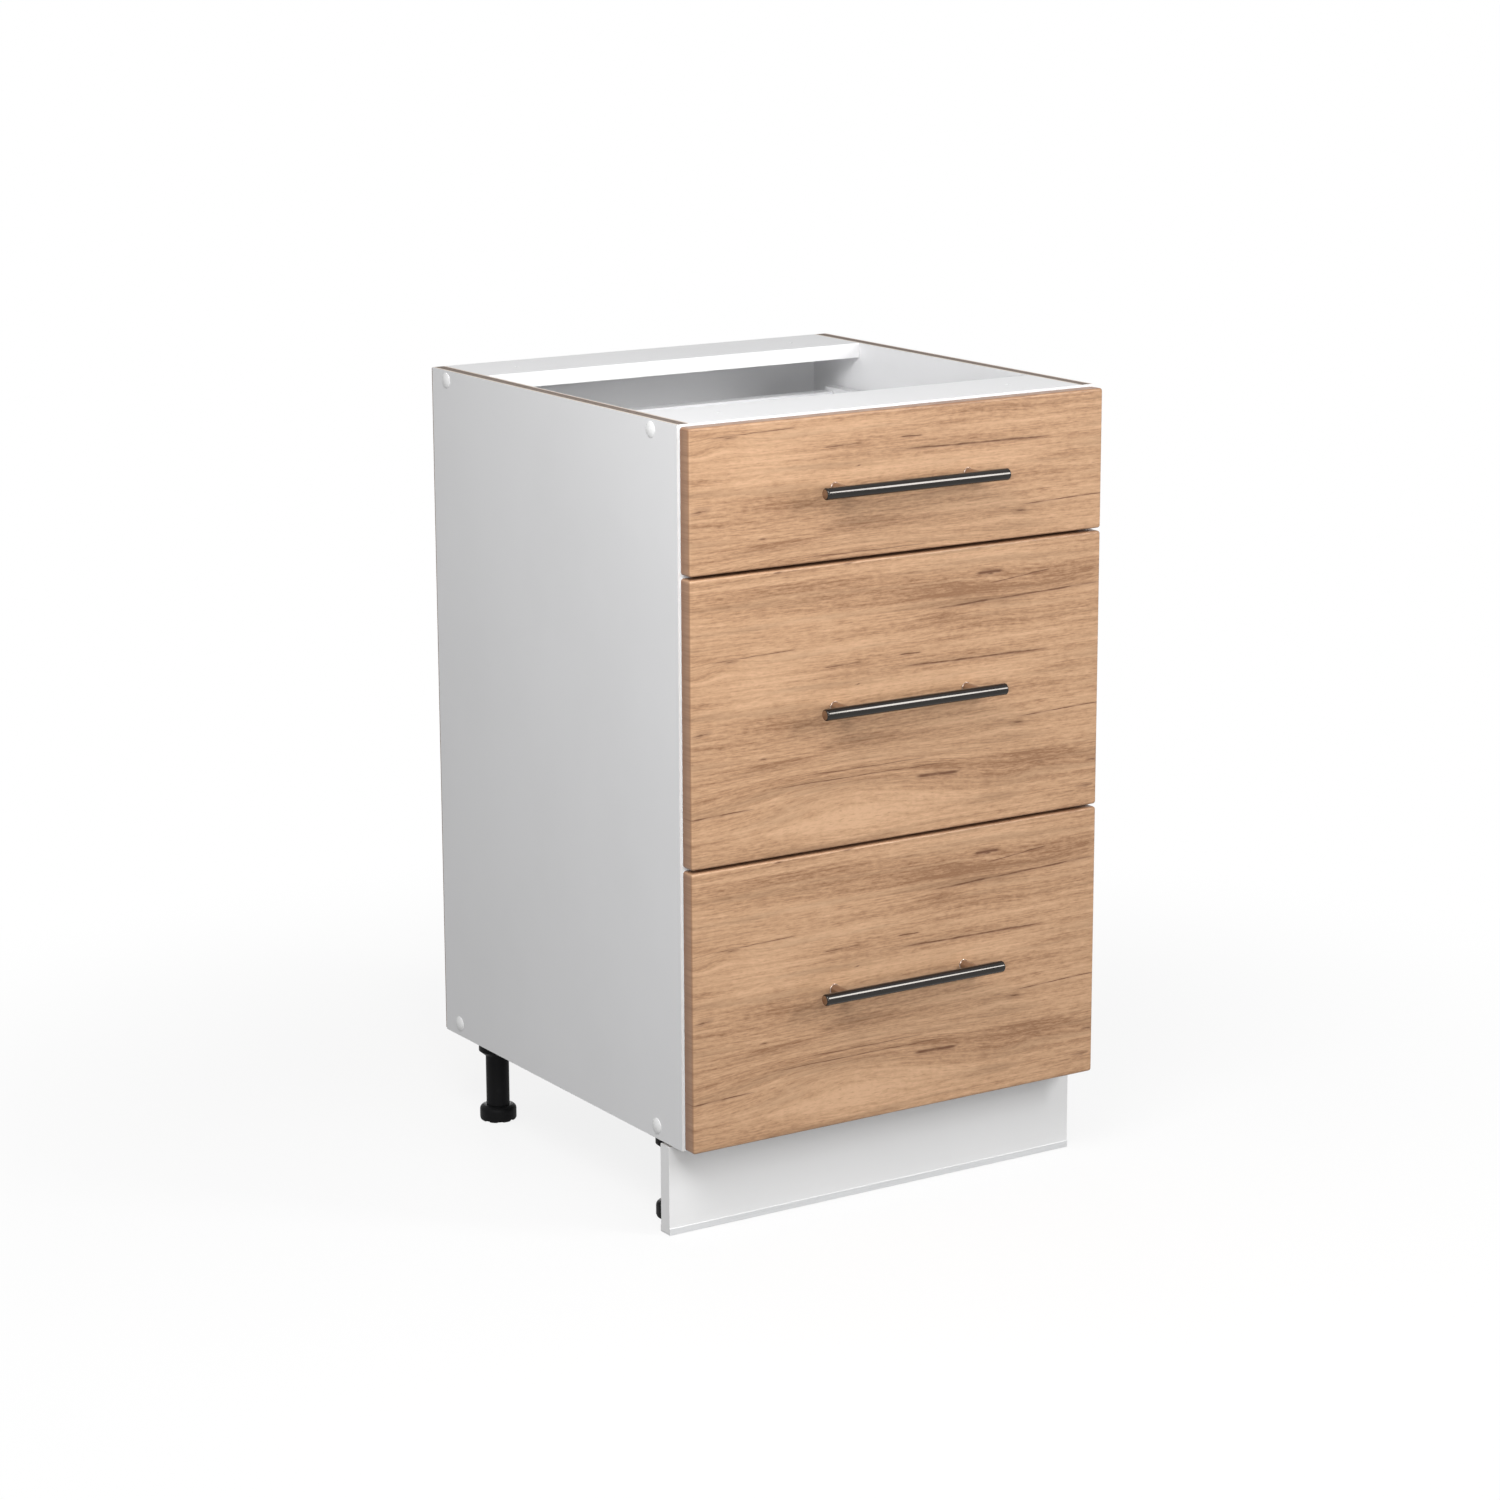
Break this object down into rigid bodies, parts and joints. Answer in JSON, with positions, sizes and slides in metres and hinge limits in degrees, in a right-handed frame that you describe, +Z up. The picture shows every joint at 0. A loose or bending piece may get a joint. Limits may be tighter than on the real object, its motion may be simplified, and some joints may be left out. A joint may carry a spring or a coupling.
{
  "type": "kitchen base cabinet",
  "caption": "Kitchen base cabinet with decor drawer fronts, bar handles, roller-runner drawers, an open top with two rails, levelling legs and a clip-on plinth.",
  "frame": {"origin": "middle of the bounding box's footprint, handles included, on the floor under the feet", "axes": "+Z up; the drawers open towards -Y; +X is to the right for someone facing the fronts"},
  "size_m": [0.5052, 0.546, 0.827],
  "materials": {
    "white_board": "white melamine on chipboard, satin",
    "edge_strip": "white edge strip",
    "hardboard": "lacquered hardboard",
    "zinc_steel": "zinc plated",
    "cap_plastic": "white, glossy",
    "beech": "raw beech",
    "black_plastic": "black moulded plastic",
    "seal_plastic": "pale flexible sealing profile",
    "clip_plastic": "black moulded plastic",
    "oak_decor": "golden oak decor, satin, grain across",
    "dark_chrome": "polished dark chrome",
    "coated_steel": "white powder coat on folded steel sheet",
    "nylon": "white nylon"
  },
  "bodies": {
    "carcass": {"left_side_panel": "white_board", "right_side_panel": "white_board", "bottom_panel": "white_board", "front_top_rail": "white_board", "rear_top_rail": "white_board", "back_panel": "hardboard", "edge_bands": "edge_strip", "carcass_screws": "zinc_steel", "screw_caps": "cap_plastic", "dowels": "beech", "back_panel_nails": "zinc_steel", "leg_sockets": "black_plastic", "leg_columns": "black_plastic", "leg_screws": "zinc_steel", "runner_screws": "zinc_steel", "top_runners": "coated_steel", "middle_runners": "coated_steel", "bottom_runners": "coated_steel"},
    "plinth": {"plinth_board": "white_board", "plinth_seal": "seal_plastic", "plinth_clips": "clip_plastic", "plinth_clip_screws": "zinc_steel"},
    "top_drawer": {"top_front": "oak_decor", "top_handle_bar": "dark_chrome", "top_handle_posts": "dark_chrome", "top_left_side": "coated_steel", "top_right_side": "coated_steel", "top_drawer_bottom": "white_board", "top_drawer_back": "white_board", "top_front_brackets": "zinc_steel", "top_drawer_screws": "zinc_steel"},
    "top_front_roller_pair": {"top_front_rollers": "nylon"},
    "top_rear_roller_pair": {"top_rear_rollers": "nylon"},
    "middle_drawer": {"middle_front": "oak_decor", "middle_handle_bar": "dark_chrome", "middle_handle_posts": "dark_chrome", "middle_left_side": "coated_steel", "middle_right_side": "coated_steel", "middle_drawer_bottom": "white_board", "middle_drawer_back": "white_board", "middle_front_brackets": "zinc_steel", "middle_drawer_screws": "zinc_steel"},
    "middle_front_roller_pair": {"middle_front_rollers": "nylon"},
    "middle_rear_roller_pair": {"middle_rear_rollers": "nylon"},
    "bottom_drawer": {"bottom_front": "oak_decor", "bottom_handle_bar": "dark_chrome", "bottom_handle_posts": "dark_chrome", "bottom_left_side": "coated_steel", "bottom_right_side": "coated_steel", "bottom_drawer_bottom": "white_board", "bottom_drawer_back": "white_board", "bottom_front_brackets": "zinc_steel", "bottom_drawer_screws": "zinc_steel"},
    "bottom_front_roller_pair": {"bottom_front_rollers": "nylon"},
    "bottom_rear_roller_pair": {"bottom_rear_rollers": "nylon"},
    "foot_front_left_body": {"foot_front_left": "black_plastic"},
    "foot_front_right_body": {"foot_front_right": "black_plastic"},
    "foot_rear_left_body": {"foot_rear_left": "black_plastic"},
    "foot_rear_right_body": {"foot_rear_right": "black_plastic"}
  },
  "joints": [
    {"name": "top_drawer_slide", "type": "slide", "parent": "carcass", "child": "top_drawer", "axis": [0, -1, 0], "range_m": [0, 0.34]},
    {"name": "top_front_roller_turn", "type": "hinge", "parent": "carcass", "child": "top_front_roller_pair", "pos_m": [0, -0.206, 0.7057], "axis": [1, 0, 0], "continuous": true},
    {"name": "top_rear_roller_turn", "type": "hinge", "parent": "top_drawer", "child": "top_rear_roller_pair", "pos_m": [0, 0.212, 0.7025], "axis": [1, 0, 0], "continuous": true},
    {"name": "middle_drawer_slide", "type": "slide", "parent": "carcass", "child": "middle_drawer", "axis": [0, -1, 0], "range_m": [0, 0.34]},
    {"name": "middle_front_roller_turn", "type": "hinge", "parent": "carcass", "child": "middle_front_roller_pair", "pos_m": [0, -0.206, 0.4342], "axis": [1, 0, 0], "continuous": true},
    {"name": "middle_rear_roller_turn", "type": "hinge", "parent": "middle_drawer", "child": "middle_rear_roller_pair", "pos_m": [0, 0.212, 0.431], "axis": [1, 0, 0], "continuous": true},
    {"name": "bottom_drawer_slide", "type": "slide", "parent": "carcass", "child": "bottom_drawer", "axis": [0, -1, 0], "range_m": [0, 0.34]},
    {"name": "bottom_front_roller_turn", "type": "hinge", "parent": "carcass", "child": "bottom_front_roller_pair", "pos_m": [0, -0.206, 0.1427], "axis": [1, 0, 0], "continuous": true},
    {"name": "bottom_rear_roller_turn", "type": "hinge", "parent": "bottom_drawer", "child": "bottom_rear_roller_pair", "pos_m": [0, 0.212, 0.1395], "axis": [1, 0, 0], "continuous": true},
    {"name": "foot_front_left_level", "type": "slide", "parent": "carcass", "child": "foot_front_left_body", "axis": [0, 0, -1], "range_m": [0, 0.02]},
    {"name": "foot_front_right_level", "type": "slide", "parent": "carcass", "child": "foot_front_right_body", "axis": [0, 0, -1], "range_m": [0, 0.02]},
    {"name": "foot_rear_left_level", "type": "slide", "parent": "carcass", "child": "foot_rear_left_body", "axis": [0, 0, -1], "range_m": [0, 0.02]},
    {"name": "foot_rear_right_level", "type": "slide", "parent": "carcass", "child": "foot_rear_right_body", "axis": [0, 0, -1], "range_m": [0, 0.02]},
    {"name": "plinth_pull_off", "type": "slide", "parent": "carcass", "child": "plinth", "axis": [0, -1, 0], "range_m": [0, 0.05]}
  ],
  "couplings": [
    {"joint": "top_front_roller_turn", "follows": "top_drawer_slide", "rad_per_m": 111.11},
    {"joint": "top_rear_roller_turn", "follows": "top_drawer_slide", "rad_per_m": 111.11},
    {"joint": "middle_front_roller_turn", "follows": "middle_drawer_slide", "rad_per_m": 111.11},
    {"joint": "middle_rear_roller_turn", "follows": "middle_drawer_slide", "rad_per_m": 111.11},
    {"joint": "bottom_front_roller_turn", "follows": "bottom_drawer_slide", "rad_per_m": 111.11},
    {"joint": "bottom_rear_roller_turn", "follows": "bottom_drawer_slide", "rad_per_m": 111.11}
  ]
}
